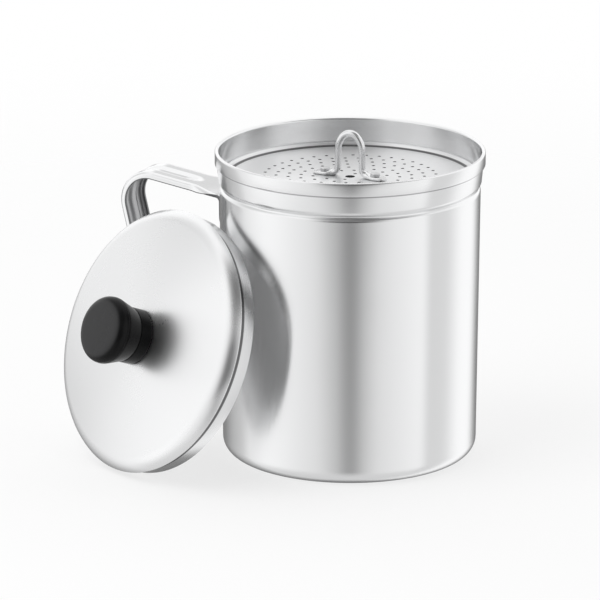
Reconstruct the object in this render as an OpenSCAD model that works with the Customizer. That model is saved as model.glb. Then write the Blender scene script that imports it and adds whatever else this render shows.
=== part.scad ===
// Grease keeper: a spun aluminium can with a lift-out strainer, a strap handle
// and a knobbed lid that stands on its edge beside the can and leans on it.
// Millimetres. The origin is on the can's axis in its base plane, +Z is up and
// the handle points along -X.

/* [Can] */
// Outer diameter of the can just under its groove
body_d = 114; // [100:1:130]
// How much narrower the can is at its foot than under its groove
body_taper = 2.4; // [0:0.1:5]
// Height of the can to the top of its rim
can_h = 136.3; // [126:0.1:170]
// Thickness of the can's sheet
can_sheet = 0.85; // [0.6:0.05:1.2]
// Radius of the can's bottom corner
foot_round = 7; // [5:0.5:15]

/* [Rim, neck and groove] */
// How far the folded rim stands out from the neck
rim_out = 0.9; // [0.6:0.05:1.5]
// Height of the folded rim
rim_h = 6; // [4.5:0.1:8]
// How far the neck stands out from the can's side, where it leaves the rim
neck_out = 1.1; // [0.8:0.05:1.5]
// How far the neck draws in above its bottom corner
neck_taper = 0.75; // [0.4:0.05:1]
// Depth of the neck's bottom corner below the rim's top
neck_drop = 13.8; // [13:0.1:15]
// Depth of the groove's bottom below the rim's top
groove_drop = 15.9; // [15.5:0.1:18]
// Depth of the can's shoulder below the rim's top
shoulder_drop = 17.7; // [17.5:0.1:21]
// How far the groove is pressed in from the can's side
groove_depth = 1.3; // [0.8:0.1:2]

/* [Strainer] */
// Thickness of the strainer's sheet
tray_sheet = 0.8; // [0.6:0.05:1]
// Diameter of the strainer's curled edge, across the curl
curl_d = 2.2; // [1.8:0.1:2.6]
// Depth of the curl's centre below the rim's top
curl_drop = 11.4; // [11:0.1:12.4]
// Clearance between the curl and the neck that it sits in
tray_clear = 0.25; // [0.2:0.05:0.5]
// Depth of the strainer's plate below the top of its curl
plate_drop = 1.8; // [1.3:0.1:3]
// Slope of the strainer's side between the plate and the curl, in degrees
side_slope = 60; // [25:1:70]
// Spacing of the rings of holes
ring_pitch = 5.4; // [4.5:0.1:7]
// Width of the plain border around the holes
border_w = 13; // [8:0.5:20]
// Spacing of the holes along a ring
hole_pitch = 5.9; // [4.5:0.1:8]
// Diameter of the strainer's holes
hole_d = 1.3; // [1:0.1:2]
// Diameter of the hole in the middle of the strainer
centre_hole_d = 3.8; // [2:0.1:5]

/* [Strainer loop] */
// Diameter of the loop's wire
wire_d = 3; // [2:0.1:3.5]
// Width of the loop over its legs
loop_w = 14.5; // [12:0.5:18]
// Height of the loop's top above the rim
loop_rise = 8.8; // [4:0.1:9.4]
// Radius inside the bend from a leg into its foot
foot_bend = 1.6; // [1:0.1:2.4]
// Thickness of the loop's flattened feet
foot_t = 1.4; // [1:0.1:1.8]
// Width of the flattened feet
foot_w = 6; // [5:0.5:8]
// Distance from the strainer's middle to each rivet
rivet_x = 12; // [11:0.5:14]
// How far a foot reaches past the middle of its rivet
foot_reach = 5.5; // [4:0.5:7]

/* [Rivets] */
// Diameter of every rivet's shank
rivet_d = 3; // [2:0.1:3.2]
// Diameter of the strainer rivets' heads
rivet_head_d = 4.2; // [4:0.1:5]
// Height of the strainer rivets' heads
rivet_head_h = 1.4; // [0.8:0.1:2]
// Diameter of the handle rivets' heads
strap_head_d = 6.4; // [5:0.1:7]
// Height of the handle rivets' heads
strap_head_h = 1.4; // [1:0.1:2]
// Thickness of a rivet's tail that is hammered flat
rivet_tail_h = 0.8; // [0.5:0.1:1]
// Clearance between a shank and its hole
rivet_clear = 0.05; // [0.02:0.01:0.1]

/* [Handle] */
// Thickness of the handle's strap
strap_t = 1.3; // [1:0.1:1.6]
// Width of the strap
strap_w = 19.5; // [16:0.5:22]
// Width of the strap where it meets the can
strap_end_w = 30; // [26:0.5:34]
// Length over which the strap widens towards the can
strap_flare = 16; // [10:0.5:24]
// Depth of the strap's turned edges
edge_h = 3; // [2:0.1:4]
// Distance from the can's shoulder down to the strap's top, where it leaves the can
strap_drop = 6; // [5.5:0.1:12]
// Height of the upper tab, below the strap
tab_h = 13; // [12:0.5:16]
// Slope of the strap's top, in degrees
strap_rise = 8.5; // [4:0.5:12]
// Reach of the handle's outer corner from the can's side, before it is rounded
strap_out = 55.4; // [46:0.1:58]
// Radius of the handle's outer corner
strap_bend = 14; // [10:0.5:18]
// Inward slope of the handle's grip, in degrees
grip_slope = 13.5; // [8:0.5:16]
// Height of the grip's lower corner above the lower tab, before it is rounded
grip_rise = 15; // [10:1:20]
// Radius of the grip's lower corner
grip_bend = 22; // [15:1:26]
// Distance between the tops of the upper and the lower tab, before their bends
handle_h = 71.6; // [64:0.1:76]
// Height of the lower tab
foot_tab_h = 14; // [12:0.5:16]
// Width of the channel pressed into the strap
channel_w = 8; // [6:0.5:9]
// Depth of the channel
channel_depth = 0.7; // [0.4:0.1:0.8]
// Distance of the channel's round end from the can's side
channel_start = 14; // [11:1:20]
// Spacing of the handle's rivets
strap_rivet_gap = 15; // [12:0.5:18]

/* [Lid] */
// Height of the lid's dome above its edge
dome_h = 8.6; // [6:0.1:11]
// Radius of the lid's shoulder
lid_round = 5.5; // [3:0.1:6]
// Depth of the lid's side
lid_side = 3.4; // [3.2:0.1:5]
// How far the lid's side leans inwards, from its lower edge up to the dome
lid_side_in = 1.4; // [0.6:0.1:2]
// How far the lid's side stands in from the outside of the rim
lid_set_in = 0.3; // [0:0.1:0.5]
// Depth of the collar that plugs the mouth
collar_h = 6.2; // [4:0.1:6.4]
// Clearance between the collar and the mouth
collar_clear = 0.3; // [0.2:0.05:0.6]
// Thickness of the lid's sheet
lid_sheet = 0.8; // [0.6:0.05:1]

/* [Where the lid stands] */
// Direction that the lid faces, in degrees about the can's axis
lid_facing = 243; // [240:1:248]
// How far the lid leans back from upright, in degrees
lid_lean = 21; // [18:0.5:25]
// Sideways distance of the lid's middle from the can's axis
lid_across = -34.8; // [-38:0.1:-30]
// Gap between the leaning lid and the can
lean_gap = 0.3; // [0.2:0.05:0.5]
// Gap between the lid's lowest point and the table
table_gap = 0.3; // [0:0.1:0.5]

/* [Knob] */
// Diameter of the knob's head
knob_d = 29.4; // [27:0.2:34]
// Height of the knob
knob_h = 21.4; // [18:0.1:25]
// Diameter of the knob's foot
knob_foot_d = 24.4; // [20:0.2:25]
// Height of the knob's foot
knob_foot_h = 6.5; // [5:0.5:8]
// Height of the knob's head, above the taper that widens up from its foot
knob_head_h = 6.3; // [6:0.1:8]
// Depth of the fine ring cut above the knob's foot
knob_ring_depth = 0.5; // [0.3:0.1:0.8]
// Diameter of the threaded insert in the knob
insert_d = 8; // [7:0.5:9]
// Length of the threaded insert
insert_h = 11; // [8:0.5:13]

/* [Knob screw] */
// Diameter of the knob's screw
screw_d = 4; // [3:0.1:4.5]
// Length of the screw under its head
screw_l = 9; // [8:0.5:11]
// Diameter of the screw's head
screw_head_d = 8; // [7:0.5:9]
// Height of the screw's head
screw_head_h = 1.1; // [0.8:0.1:1.2]
// Diameter of the washer under the screw's head
washer_d = 10; // [9.5:0.5:12]
// Thickness of the washer
washer_t = 0.4; // [0.3:0.1:0.5]
// Clearance around the screw
screw_clear = 0.05; // [0.02:0.01:0.1]

/* [Hidden] */

aluminium = "#d4d6d8";
bright = "#e4e5e7";
phenolic = "#1b1b1d";
brass = "#c2a14d";
steel = "#9a9da1";

// Facets
$fn = 96;
arc_step = 11.25;
cut = 1;

// Can
body_r = body_d / 2;
foot_r = body_r - body_taper / 2;
neck_r = body_r + neck_out;
rim_r = neck_r + rim_out;
rim_z = can_h - rim_h;
neck_low_r = neck_r - neck_taper;
neck_low_z = can_h - neck_drop;
groove_r = body_r - groove_depth;
groove_z = can_h - groove_drop;
shoulder_z = can_h - shoulder_drop;
neck_round = 2.2;
groove_round = 1;
shoulder_round = 2.4;
mouth_r = neck_r - can_sheet;

// Strainer
curl_r = curl_d / 2;
curl_z = can_h - curl_drop;
neck_slope = (neck_r - neck_low_r) / (rim_z - neck_low_z);
curl_out = neck_r - (rim_z - curl_z) * neck_slope - can_sheet - tray_clear;
curl_ring = curl_out - curl_r;
plate_z = curl_z + curl_r - plate_drop;
side_top = [curl_ring - curl_r * sin(side_slope), curl_z + curl_r * cos(side_slope)];
plate_r = side_top[0] - (side_top[1] - plate_z) / tan(side_slope);
side_round = 1.5;
curl_turn = 270;
ring_count = floor((plate_r - border_w - hole_d / 2) / ring_pitch);
drilled_r = ring_count * ring_pitch + 2 * hole_d;

// Loop
wire_r = wire_d / 2;
leg_x = loop_w / 2 - wire_r;
arch_z = can_h + loop_rise - wire_r - leg_x;
bend_r = foot_bend + wire_r;
foot_tip = rivet_x + foot_reach;
foot_end = foot_tip - foot_w / 2;
foot_start = leg_x + foot_bend;

// Handle
strap_z = shoulder_z - strap_drop;
strap_reach = body_r + strap_out;
foot_tab_z = strap_z - handle_h;
grip_z = foot_tab_z + grip_rise;
channel_end = body_r + channel_start;
strap_turn_z = strap_z + (strap_reach - body_r) * tan(strap_rise);
grip_x = strap_reach - (strap_turn_z - grip_z) * tan(grip_slope);
tab_z = strap_z - tab_h;
tab_bend = 3;
tab_clear = 0.1;
foot_tab_bend = 6;
foot_slope = (grip_z - foot_tab_z) / (grip_x - body_r - strap_t);
tab_mid_z = tab_z + tab_h * 0.42;
foot_tab_mid_z = foot_tab_z - foot_tab_h * 0.58;
far_x = strap_reach + 2 * edge_h;
seat_gap = 0.05;
strap_dome_r = strap_head_d * 0.75;

// Lid
lid_r = rim_r - lid_set_in;
collar_r = mouth_r - collar_clear;
collar_end = lid_side + collar_h;
dome_r = (lid_r * lid_r + dome_h * dome_h) / (2 * dome_h);
knob_seat_r = knob_foot_d / 2 + 1;
seat_z = dome_z(knob_seat_r);
lid_step_round = 0.6;
lid_edge = [lid_r - lid_side_in, dome_z(lid_r - lid_side_in)];

// Fits in the knob
insert_gap = 0.02;
screw_r = screw_d / 2;
insert_chamfer = 0.6;

// Height of the dome's surface above the lid's edge at a distance from its axis
function dome_z(r) = sqrt(dome_r * dome_r - r * r) - dome_r + dome_h;

// ---- Outlines ----

function unit(v) = v / norm(v);
function turned(v) = [-v[1], v[0]];
function flat(lists) = [for (list = lists) each list];

// Points of a round corner of radius r at b, between a and c
function corner(a, b, c, r) =
    let (u = unit(a - b), v = unit(c - b), half = acos(u * v) / 2)
    let (o = b + unit(u + v) * r / sin(half), p = b + u * r / tan(half) - o)
    let (side = sign(cross(b - a, c - b)), turn = side * (180 - 2 * half))
    let (n = max(2, ceil(abs(turn) / arc_step)))
    [for (i = [0:n]) o + spun(p, turn * i / n)];
function spun(v, a) = [v[0] * cos(a) - v[1] * sin(a), v[0] * sin(a) + v[1] * cos(a)];

// Path through [x, y, corner radius] points, with its corners rounded
function rounded(pts) = flat([for (i = [0:len(pts) - 1])
    let (b = [pts[i][0], pts[i][1]])
    (i == 0 || i == len(pts) - 1 || pts[i][2] == 0) ? [b]
    : corner([pts[i - 1][0], pts[i - 1][1]], b, [pts[i + 1][0], pts[i + 1][1]], pts[i][2])]);

// The path moved sideways by d, to its left
function beside(path, d) = [for (i = [0:len(path) - 1])
    let (a = i == 0 ? path[0] : path[i - 1], b = path[i])
    let (c = i == len(path) - 1 ? path[i] : path[i + 1])
    let (m = i == 0 ? turned(unit(c - b)) : turned(unit(b - a)))
    let (n = i == len(path) - 1 ? m : turned(unit(c - b)))
    b + (m + n) * d / (1 + m * n)];

// Closed outline of the sheet between the path moved by d1 and by d2
function band(path, d1, d2) =
    let (back = beside(path, d2))
    concat(beside(path, d1), [for (i = [len(back) - 1:-1:0]) back[i]]);

function mirrored(pts) = [for (i = [len(pts) - 1:-1:0]) [pts[i][0], -pts[i][1]]];

// ---- Can ----

can_path = rounded([
    [0, 0, 0],
    [foot_r, 0, foot_round],
    [body_r, shoulder_z, shoulder_round],
    [groove_r, groove_z, groove_round],
    [neck_low_r, neck_low_z, neck_round],
    [neck_r, rim_z, 0],
    [neck_r, can_h - (rim_r - mouth_r) / 2, 0]]);

// Outer radius of the can's side at a height
function side_r(z) = foot_r + (body_r - foot_r) * z / shoulder_z;

module rim_fold() {
    fold_r = (rim_r - mouth_r) / 2;
    translate([mouth_r + fold_r, can_h - fold_r]) circle(fold_r);
    translate([mouth_r, rim_z]) square([2 * fold_r, rim_h - fold_r]);
}

module container_body() {
    color(aluminium) difference() {
        rotate_extrude() {
            polygon(band(can_path, 0, can_sheet));
            rim_fold();
        }
        for (side = [-1, 1]) {
            strap_rivet_place(tab_mid_z, side) rivet_hole(can_sheet);
            strap_rivet_place(foot_tab_mid_z, side) rivet_hole(can_sheet);
        }
    }
}

// ---- Handle ----

// The strap's outer face between its two tabs
strap_path = rounded([
    [body_r + tab_bend, strap_z + tab_bend * tan(strap_rise), 0],
    [strap_reach, strap_turn_z, strap_bend],
    [grip_x, grip_z, grip_bend],
    [body_r + foot_tab_bend, foot_tab_z + (foot_tab_bend - strap_t) * foot_slope, 0]]);

// The tabs follow the can's side, so their outlines turn about the can's axis
upper_tab_path = rounded([
    [side_r(tab_z) + tab_clear, tab_z, 0],
    [side_r(strap_z) + tab_clear, strap_z, tab_bend],
    [body_r + 2 * tab_bend, strap_z + 2 * tab_bend * tan(strap_rise), 0]]);
lower_tab_path = rounded([
    [body_r + 2 * foot_tab_bend, foot_tab_z + (2 * foot_tab_bend - strap_t) * foot_slope, 0],
    [side_r(foot_tab_z) + tab_clear + strap_t, foot_tab_z, foot_tab_bend],
    [side_r(foot_tab_z - foot_tab_h) + tab_clear + strap_t, foot_tab_z - foot_tab_h, 0]]);

// Half the strap's width at a distance from the can's axis, less a margin
function strap_edge(margin) = let (steps = 8) concat(
    [[0, strap_end_w / 2 - margin]],
    [for (i = [0:steps]) [body_r + strap_flare * i / steps,
        strap_w / 2 + (strap_end_w - strap_w) / 4 * (1 + cos(180 * i / steps)) - margin]],
    [[far_x, strap_w / 2 - margin]]);

module strap_slab(d1, d2) {
    rotate([90, 0, 0]) linear_extrude(strap_end_w + 2, center = true) polygon(band(strap_path, -d1, -d2));
}

module strap_plan(margin) {
    linear_extrude(can_h) polygon(concat(strap_edge(margin), mirrored(strap_edge(margin))));
}

module channel_plan(r) {
    translate([0, 0, grip_z]) linear_extrude(can_h) union() {
        translate([channel_end + r, 0]) circle(r);
        translate([channel_end + r, -r]) square([far_x - channel_end, 2 * r]);
    }
}

module handle_strap() {
    color(bright) rotate([0, 0, 180]) difference() {
        intersection() {
            strap_plan(0);
            union() {
                rotate_extrude() polygon(band(upper_tab_path, 0, -strap_t));
                rotate_extrude() polygon(band(lower_tab_path, 0, -strap_t));
                strap_slab(0, strap_t);
                difference() {
                    strap_slab(strap_t / 2, edge_h);
                    strap_plan(strap_t);
                }
                intersection() {
                    strap_slab(strap_t / 2, strap_t + channel_depth);
                    channel_plan(channel_w / 2);
                }
            }
        }
        intersection() {
            strap_slab(-cut, channel_depth);
            channel_plan(channel_w / 2 - strap_t / 2);
        }
        for (side = [-1, 1]) {
            strap_rivet_at(tab_mid_z, side) rivet_hole(strap_t);
            strap_rivet_at(foot_tab_mid_z, side) rivet_hole(strap_t);
        }
    }
}

// ---- Rivets ----

module strap_rivet_at(z, side) {
    rotate([0, 0, side * asin(strap_rivet_gap / 2 / body_r)])
        translate([side_r(z), 0, z]) rotate([0, 90, 0]) children();
}

module strap_rivet_place(z, side) {
    rotate([0, 0, 180]) strap_rivet_at(z, side) children();
}

module rivet_hole(depth) {
    translate([0, 0, -3 * depth]) cylinder(h = 6 * depth, r = rivet_d / 2 + rivet_clear);
}

module handle_rivet(z, side) {
    color(bright) strap_rivet_place(z, side) strap_rivet();
}

// A rivet of the handle, pointing out of the can: a low head outside, a flat tail inside
module strap_rivet() {
    head_r = strap_head_d / 2;
    tail_z = -can_sheet - rivet_tail_h - seat_gap - (side_r(0) - sqrt(pow(side_r(0), 2) - head_r * head_r));
    head_z = tab_clear + strap_t + seat_gap;
    translate([0, 0, tail_z]) cylinder(h = head_z + strap_head_h / 2 - tail_z, r = rivet_d / 2);
    translate([0, 0, tail_z]) cylinder(h = rivet_tail_h, r = head_r);
    translate([0, 0, head_z]) rotate_extrude() intersection() {
        translate([0, strap_head_h - strap_dome_r]) circle(strap_dome_r);
        square([head_r, strap_head_h]);
    }
}

module handle_rivet_upper_left() { handle_rivet(tab_mid_z, 1); }
module handle_rivet_upper_right() { handle_rivet(tab_mid_z, -1); }
module handle_rivet_lower_left() { handle_rivet(foot_tab_mid_z, 1); }
module handle_rivet_lower_right() { handle_rivet(foot_tab_mid_z, -1); }

// ---- Strainer ----

// Upper side of the strainer's sheet, out along the plate and over into the curl
tray_path = concat(
    rounded([[0, plate_z, 0], [plate_r, plate_z, side_round], [side_top[0], side_top[1], 0]]),
    [for (a = [arc_step:arc_step:curl_turn])
        [curl_ring, curl_z] + spun(side_top - [curl_ring, curl_z], -a)]);

// The feet cover part of the plate, so it isn't drilled there
function under_foot(x, y) = abs(x) > leg_x - wire_r && abs(x) < foot_tip + hole_d
    && abs(y) < foot_w / 2 + hole_d / 2;

// The curled edge is turned about the axis, and the plate inside it is cut out flat
module strainer_tray() {
    color(aluminium) {
        rotate_extrude() difference() {
            polygon(band(tray_path, 0, -tray_sheet));
            translate([0, plate_z - 2 * tray_sheet]) square([drilled_r, 4 * tray_sheet]);
        }
        translate([0, 0, plate_z - tray_sheet]) linear_extrude(tray_sheet) difference() {
            circle(drilled_r);
            circle(d = centre_hole_d);
            for (side = [-1, 1]) translate([side * rivet_x, 0]) circle(rivet_d / 2 + rivet_clear);
            for (ring = [1:ring_count]) ring_of_holes(ring);
        }
    }
}

module ring_of_holes(ring) {
    r = ring * ring_pitch;
    holes = round(2 * PI * r / hole_pitch);
    for (i = [0:holes - 1]) {
        a = (i + 0.5) * 360 / holes;
        if (!under_foot(r * cos(a), r * sin(a)))
            translate([r * cos(a), r * sin(a)]) circle(d = hole_d, $fn = 24);
    }
}

module strainer_loop() {
    color(bright) {
        translate([0, 0, arch_z]) rotate([90, 0, 0]) rotate_extrude(angle = 180)
            translate([leg_x, 0]) circle(wire_r);
        for (side = [0, 180]) rotate([0, 0, side]) {
            translate([leg_x, 0, plate_z + bend_r + cut / 4])
                cylinder(h = arch_z - plate_z - bend_r - cut / 4, r = wire_r);
            loop_foot();
        }
    }
}

// The wire bends outwards and is hammered flat
module loop_foot() {
    translate([leg_x + bend_r, 0, plate_z + bend_r + cut / 4]) intersection() {
        rotate([90, 0, 0]) rotate_extrude(angle = 90) translate([-bend_r, 0]) circle(wire_r);
        translate([-2 * bend_r, -foot_w, -bend_r - cut / 4]) cube([2 * bend_r, 2 * foot_w, 2 * bend_r]);
    }
    difference() {
        union() {
            translate([foot_end, 0, plate_z]) cylinder(h = foot_t, d = foot_w);
            translate([foot_start, -foot_w / 2, plate_z]) cube([foot_end - foot_start, foot_w, foot_t]);
        }
        translate([rivet_x, 0, plate_z - cut]) cylinder(h = foot_t + 2 * cut, r = rivet_d / 2 + rivet_clear);
    }
}

module strainer_rivet(side) {
    color(bright) translate([side * rivet_x, 0, plate_z]) {
        translate([0, 0, -tray_sheet - rivet_tail_h])
            cylinder(h = tray_sheet + rivet_tail_h + foot_t + rivet_head_h / 2, d = rivet_d);
        translate([0, 0, -tray_sheet - rivet_tail_h]) cylinder(h = rivet_tail_h, d = rivet_head_d);
        translate([0, 0, foot_t]) cylinder(h = rivet_head_h, d = rivet_head_d);
    }
}

module strainer_rivet_left() { strainer_rivet(-1); }
module strainer_rivet_right() { strainer_rivet(1); }

// ---- Lid ----

// How far the lid's middle is from the can's axis, along its facing direction, when the
// back of its collar and of its side just clear the can by lean_gap
function lean_reach(r, depth) = max([for (a = [0:3:359])
    let (up = r * cos(a), across = lid_across + r * sin(a))
    let (z = lid_z - depth * sin(lid_lean) + up * cos(lid_lean))
    let (can = (z > neck_low_z ? rim_r : side_r(z)) + lean_gap)
    (abs(across) < can && z < can_h ? sqrt(can * can - across * across) : 0)
        + depth * cos(lid_lean) + up * sin(lid_lean)]);
lid_z = table_gap + collar_end * sin(lid_lean) + collar_r * cos(lid_lean);
lid_reach = max(lean_reach(collar_r, collar_end), lean_reach(lid_r, lid_side));

// Puts a lid that is drawn with its axis up where it stands beside the can
module leaning() {
    rotate([0, 0, lid_facing]) translate([lid_reach, lid_across, lid_z])
        rotate([0, 90 - lid_lean, 0]) children();
}

dome_start = lid_r - 2 * lid_round;
dome_steps = 8;
lid_path = concat(
    [[0, seat_z], [knob_seat_r, seat_z]],
    [for (i = [1:dome_steps]) let (r = knob_seat_r + (dome_start - knob_seat_r) * i / dome_steps)
        [r, dome_z(r)]],
    corner([dome_start, dome_z(dome_start)], lid_edge, [lid_r, -lid_side], lid_round),
    corner(lid_edge, [lid_r, -lid_side], [collar_r, -lid_side], lid_step_round),
    [[collar_r, -lid_side], [collar_r, -collar_end]]);

module lid_cover() {
    color(aluminium) leaning() difference() {
        rotate_extrude() polygon(band(lid_path, 0, -lid_sheet));
        cylinder(h = 3 * dome_h, r = screw_r + screw_clear, center = true);
    }
}

knob_path = rounded([
    [0, 0, 0],
    [knob_foot_d / 2, 0, 1.2],
    [knob_foot_d / 2, knob_foot_h, 0],
    [knob_foot_d / 2 - knob_ring_depth, knob_foot_h, 0],
    [knob_foot_d / 2 - knob_ring_depth, knob_foot_h + knob_ring_depth, 0],
    [knob_foot_d / 2, knob_foot_h + knob_ring_depth, 0],
    [knob_d / 2, knob_h - knob_head_h, 4],
    [knob_d / 2, knob_h - 0.5, 4.8],
    [0, knob_h, 0]]);

module lid_knob() {
    color(phenolic) leaning() translate([0, 0, seat_z]) difference() {
        rotate_extrude() polygon(knob_path);
        translate([0, 0, -cut]) cylinder(h = insert_h + cut, r = insert_d / 2 + insert_gap);
    }
}

module knob_insert() {
    color(brass) leaning() translate([0, 0, seat_z]) rotate_extrude() difference() {
        square([insert_d / 2, insert_h - insert_gap]);
        translate([0, -cut]) square([screw_r + screw_clear, insert_h + 2 * cut]);
        translate([insert_d / 2, insert_h]) rotate(45) square(insert_chamfer, center = true);
    }
}

module knob_washer() {
    color(steel) leaning() translate([0, 0, seat_z - lid_sheet - washer_t]) difference() {
        cylinder(h = washer_t, d = washer_d);
        translate([0, 0, -cut]) cylinder(h = washer_t + 2 * cut, r = screw_r + screw_clear);
    }
}

module knob_screw() {
    head_z = seat_z - lid_sheet - washer_t;
    color(steel) leaning() difference() {
        union() {
            translate([0, 0, head_z - screw_head_h]) cylinder(h = screw_head_h, d = screw_head_d);
            translate([0, 0, head_z - screw_head_h / 2])
                cylinder(h = screw_l + screw_head_h / 2, r = screw_r);
        }
        translate([0, 0, head_z - screw_head_h]) cube([screw_head_d + cut, 1, screw_head_h], center = true);
    }
}

container_body();
handle_strap();
handle_rivet_upper_left();
handle_rivet_upper_right();
handle_rivet_lower_left();
handle_rivet_lower_right();
strainer_tray();
strainer_loop();
strainer_rivet_left();
strainer_rivet_right();
lid_cover();
lid_knob();
knob_insert();
knob_screw();
knob_washer();
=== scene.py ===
from math import acos, asin, ceil, cos, degrees, pi, radians, sin, sqrt, tan

import bmesh
import bpy
from mathutils import Matrix, Vector


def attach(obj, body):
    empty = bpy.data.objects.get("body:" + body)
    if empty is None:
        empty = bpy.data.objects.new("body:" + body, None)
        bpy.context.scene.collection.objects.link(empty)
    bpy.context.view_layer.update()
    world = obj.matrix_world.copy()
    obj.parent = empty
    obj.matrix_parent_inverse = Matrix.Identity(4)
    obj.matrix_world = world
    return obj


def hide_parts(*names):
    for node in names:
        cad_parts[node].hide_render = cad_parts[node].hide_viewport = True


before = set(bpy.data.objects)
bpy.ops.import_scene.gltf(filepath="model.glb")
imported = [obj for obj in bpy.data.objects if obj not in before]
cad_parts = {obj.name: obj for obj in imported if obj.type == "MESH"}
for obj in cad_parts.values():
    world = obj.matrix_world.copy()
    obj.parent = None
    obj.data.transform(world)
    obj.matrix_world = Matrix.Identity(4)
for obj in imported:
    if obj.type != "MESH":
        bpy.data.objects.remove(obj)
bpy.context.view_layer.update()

mm = 0.001
print("frame loaded:", len(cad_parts), "nodes")


# camera: a long lens a little above the rim, as in the photograph

view = {
    "azimuth": 25,
    "elevation": 16.05,
    "distance": 2.195,
    "target": (-0.0198, -0.0092, 0.06815),
    "lens": 300,
}

azimuth = radians(view["azimuth"])
elevation = radians(view["elevation"])
toCamera = Vector((sin(azimuth) * cos(elevation), -cos(azimuth) * cos(elevation), sin(elevation)))
cameraData = bpy.data.cameras.new("camera")
cameraData.lens = view["lens"]
cameraData.sensor_width = 36
camera = bpy.data.objects.new("camera", cameraData)
camera.location = Vector(view["target"]) + toCamera * view["distance"]
camera.rotation_euler = toCamera.to_track_quat("Z", "Y").to_euler()
bpy.context.scene.collection.objects.link(camera)
bpy.context.scene.camera = camera


# drawing outlines, in millimetres

def roundedPath(points, step=9):  # points are x, y and corner radius; step is in degrees
    path = []
    for i, (x, y, radius) in enumerate(points):
        corner = Vector((x, y))
        if radius == 0 or i in (0, len(points) - 1):
            path.append(corner)
            continue
        back = (Vector(points[i - 1][:2]) - corner).normalized()
        on = (Vector(points[i + 1][:2]) - corner).normalized()
        half = back.angle(on) / 2
        centre = corner + (back + on).normalized() * radius / sin(half)
        start = corner + back * radius / tan(half) - centre
        turn = (pi - 2 * half) * (-1 if back.cross(on) > 0 else 1)
        count = max(2, ceil(abs(turn) / radians(step)))
        path += [centre + Matrix.Rotation(turn * k / count, 2) @ start for k in range(count + 1)]
    return path


def arcPath(centre, start, turn, count):  # from start round centre by turn degrees
    centre, arm = Vector(centre), Vector(start) - Vector(centre)
    return [centre + Matrix.Rotation(radians(turn) * k / count, 2) @ arm for k in range(1, count + 1)]


def smoothStep(low, high, value):
    t = min(1, max(0, (value - low) / (high - low)))
    return t * t * (3 - 2 * t)


def movedSideways(path, distance):  # to the left of its direction
    moved = []
    for i, here in enumerate(path):
        before = (here - path[i - 1]).normalized() if i else (path[1] - here).normalized()
        after = (path[i + 1] - here).normalized() if i < len(path) - 1 else before
        m, n = Vector((-before.y, before.x)), Vector((-after.y, after.x))
        moved.append(here + (m + n) * distance / (1 + m.dot(n)))
    return moved


# from a bmesh to a piece

def smoothShade(mesh, limit=35):  # smooth, but for edges sharper than the limit
    bm = bmesh.new()
    bm.from_mesh(mesh)
    for face in bm.faces:
        face.smooth = True
    for edge in bm.edges:
        edge.smooth = len(edge.link_faces) != 2 or edge.calc_face_angle() < radians(limit)
    bm.to_mesh(mesh)
    bm.free()


def makePiece(name, bm, place=None, recalculate=True):
    if recalculate:
        bmesh.ops.recalc_face_normals(bm, faces=bm.faces)
    if place is not None:
        bmesh.ops.transform(bm, matrix=place, verts=bm.verts)
    mesh = bpy.data.meshes.new(name)
    bm.to_mesh(mesh)
    bm.free()
    piece = bpy.data.objects.new(name, mesh)
    bpy.context.scene.collection.objects.link(piece)
    return piece


def turnedShape(path, steps):  # the path turned about the Z axis
    bm = bmesh.new()
    verts = [bm.verts.new((p.x * mm, 0, p.y * mm)) for p in path]
    edges = [bm.edges.new(pair) for pair in zip(verts, verts[1:])]
    bmesh.ops.spin(bm, geom=verts + edges, cent=(0, 0, 0), axis=(0, 0, 1), angle=2 * pi,
                   steps=steps, use_merge=True)
    bmesh.ops.remove_doubles(bm, verts=bm.verts, dist=1e-6)
    return bm


def giveThickness(piece, thickness, edgeRound, edgeSlot=-1):  # both ways from the sheet's middle
    sheet = piece.modifiers.new("sheet", "SOLIDIFY")
    sheet.thickness = thickness * mm
    sheet.offset = 0
    sheet.use_even_offset = True
    if edgeRound:
        edges = piece.modifiers.new("edges", "BEVEL")
        edges.width = edgeRound * mm
        edges.segments = 2
        edges.limit_method = "ANGLE"
        edges.angle_limit = radians(50)
        edges.material = edgeSlot


def bakeModifiers(piece):
    bpy.context.view_layer.update()
    shaped = piece.evaluated_get(bpy.context.evaluated_depsgraph_get())
    mesh = bpy.data.meshes.new_from_object(shaped)
    piece.modifiers.clear()
    old = piece.data
    piece.data = mesh
    bpy.data.meshes.remove(old)
    mesh.name = piece.name
    smoothShade(mesh)


# materials

def addNode(tree, kind, inputs=None, **settings):
    made = tree.nodes.new(kind)
    for key, value in settings.items():
        setattr(made, key, value)
    for key, value in (inputs or {}).items():
        if isinstance(value, bpy.types.NodeSocket):
            tree.links.new(value, made.inputs[key])
        else:
            made.inputs[key].default_value = value
    return made


def newMaterial(name):
    material = bpy.data.materials.new(name)
    material.use_nodes = True
    shader = material.node_tree.nodes["Principled BSDF"]
    return material, material.node_tree, shader


def mathNode(tree, operation, a, b=0.0):
    return addNode(tree, "ShaderNodeMath", {0: a, 1: b}, operation=operation).outputs[0]


def spread(tree, value, low, high):  # 0 to 1 becomes low to high
    return addNode(tree, "ShaderNodeMapRange",
                   {"Value": value, "To Min": low, "To Max": high}).outputs[0]


def blendValue(tree, factor, a, b):
    return addNode(tree, "ShaderNodeMix", {"Factor": factor, "A": a, "B": b}).outputs["Result"]


def between(tree, value, start, end):  # 0 at the start, 1 at the end, smoothly
    return addNode(tree, "ShaderNodeMapRange", {"Value": value, "From Min": start, "From Max": end},
                   interpolation_type="SMOOTHSTEP").outputs[0]


def blendColour(tree, factor, a, b):
    return addNode(tree, "ShaderNodeMix", {"Factor": factor, "A": a, "B": b},
                   data_type="RGBA").outputs["Result"]


def noise(tree, vector, scale, detail, roughness=0.5):
    return addNode(tree, "ShaderNodeTexNoise", {"Vector": vector, "Scale": scale, "Detail": detail,
                                                "Roughness": roughness}).outputs["Fac"]


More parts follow.
